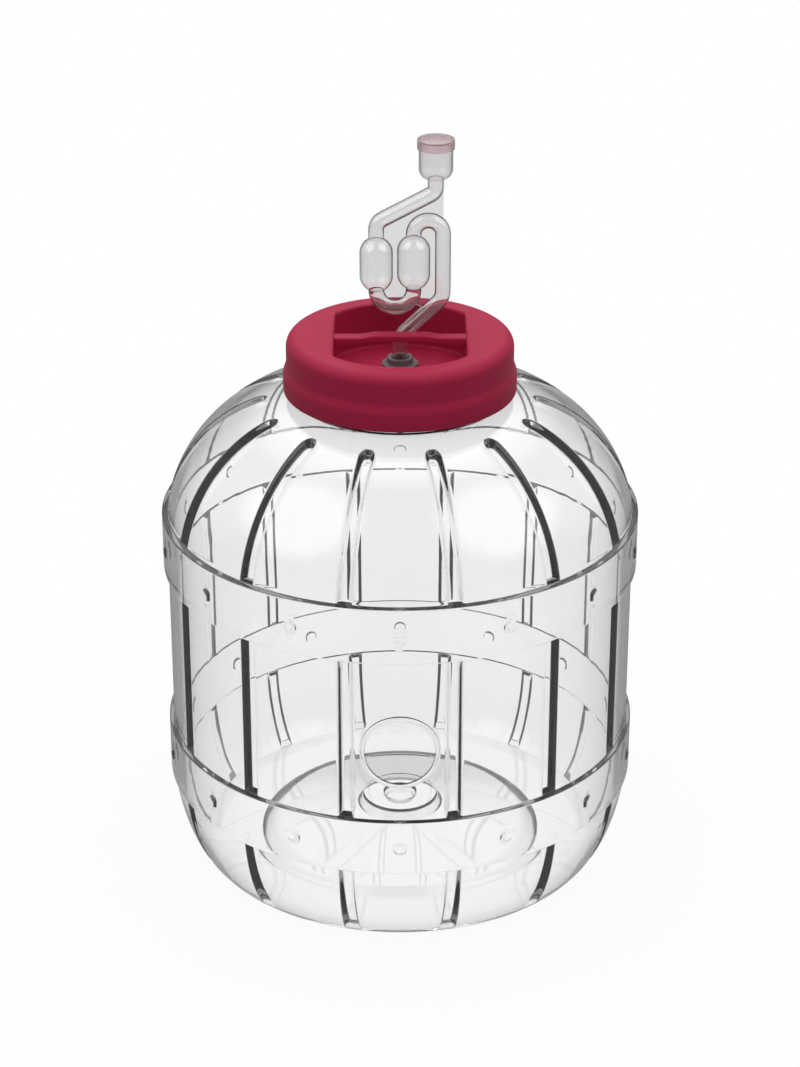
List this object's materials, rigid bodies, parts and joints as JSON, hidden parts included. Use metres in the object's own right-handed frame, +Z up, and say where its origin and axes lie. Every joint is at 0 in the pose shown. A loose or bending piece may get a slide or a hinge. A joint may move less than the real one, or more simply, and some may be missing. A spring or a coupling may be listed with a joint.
{
  "type": "plastic fermentation jar with lid and airlock",
  "caption": "Clear barrel-shaped plastic fermentation jar with hoops and staves, a crimson screw lid with a sunken grip bar, and a clear bulb airlock with a pink cap.",
  "frame": {"origin": "middle of the base, on the surface that the jar stands on", "axes": "+Z up along the jar's axis; -Y is the front that the picture shows, with the grip bar in front of the airlock; +X is to the right of that view, along the grip bar"},
  "size_m": [0.276, 0.2782, 0.4319],
  "materials": {
    "clear_pet": "clear, glossy, blow-moulded",
    "crimson_plastic": "satin, injection-moulded",
    "seal_foam": "matte white foam",
    "grey_rubber": "matte, slightly translucent",
    "clear_styrene": "clear, glossy",
    "pink_plastic": "translucent, satin"
  },
  "bodies": {
    "jar_body": {"jar": "clear_pet"},
    "seal": {"lid_seal": "seal_foam"},
    "screw_lid": {"lid": "crimson_plastic"},
    "bung": {"grommet": "grey_rubber"},
    "airlock": {"airlock_front_shell": "clear_styrene", "airlock_rear_shell": "clear_styrene"},
    "cap": {"airlock_cap": "pink_plastic"}
  },
  "joints": [
    {"name": "lid_lift", "type": "slide", "parent": "jar_body", "child": "seal", "axis": [0, 0, 1], "range_m": [0, 0.0361]},
    {"name": "lid_turn", "type": "hinge", "parent": "seal", "child": "screw_lid", "pos_m": [0, 0, 0.319], "axis": [0, 0, 1], "range_deg": [0, 1080]},
    {"name": "grommet_lift", "type": "slide", "parent": "screw_lid", "child": "bung", "axis": [0, 0, 1], "range_m": [0, 0.04]},
    {"name": "airlock_swivel", "type": "hinge", "parent": "bung", "child": "airlock", "pos_m": [0, 0.017, 0.2966], "axis": [0, 0, 1], "range_deg": [-30, 210]},
    {"name": "cap_lift", "type": "slide", "parent": "airlock", "child": "cap", "axis": [0, 0, 1], "range_m": [0, 0.012]}
  ],
  "couplings": [
    {"joint": "lid_lift", "follows": "lid_turn", "m_per_rad": 0.0019099}
  ]
}
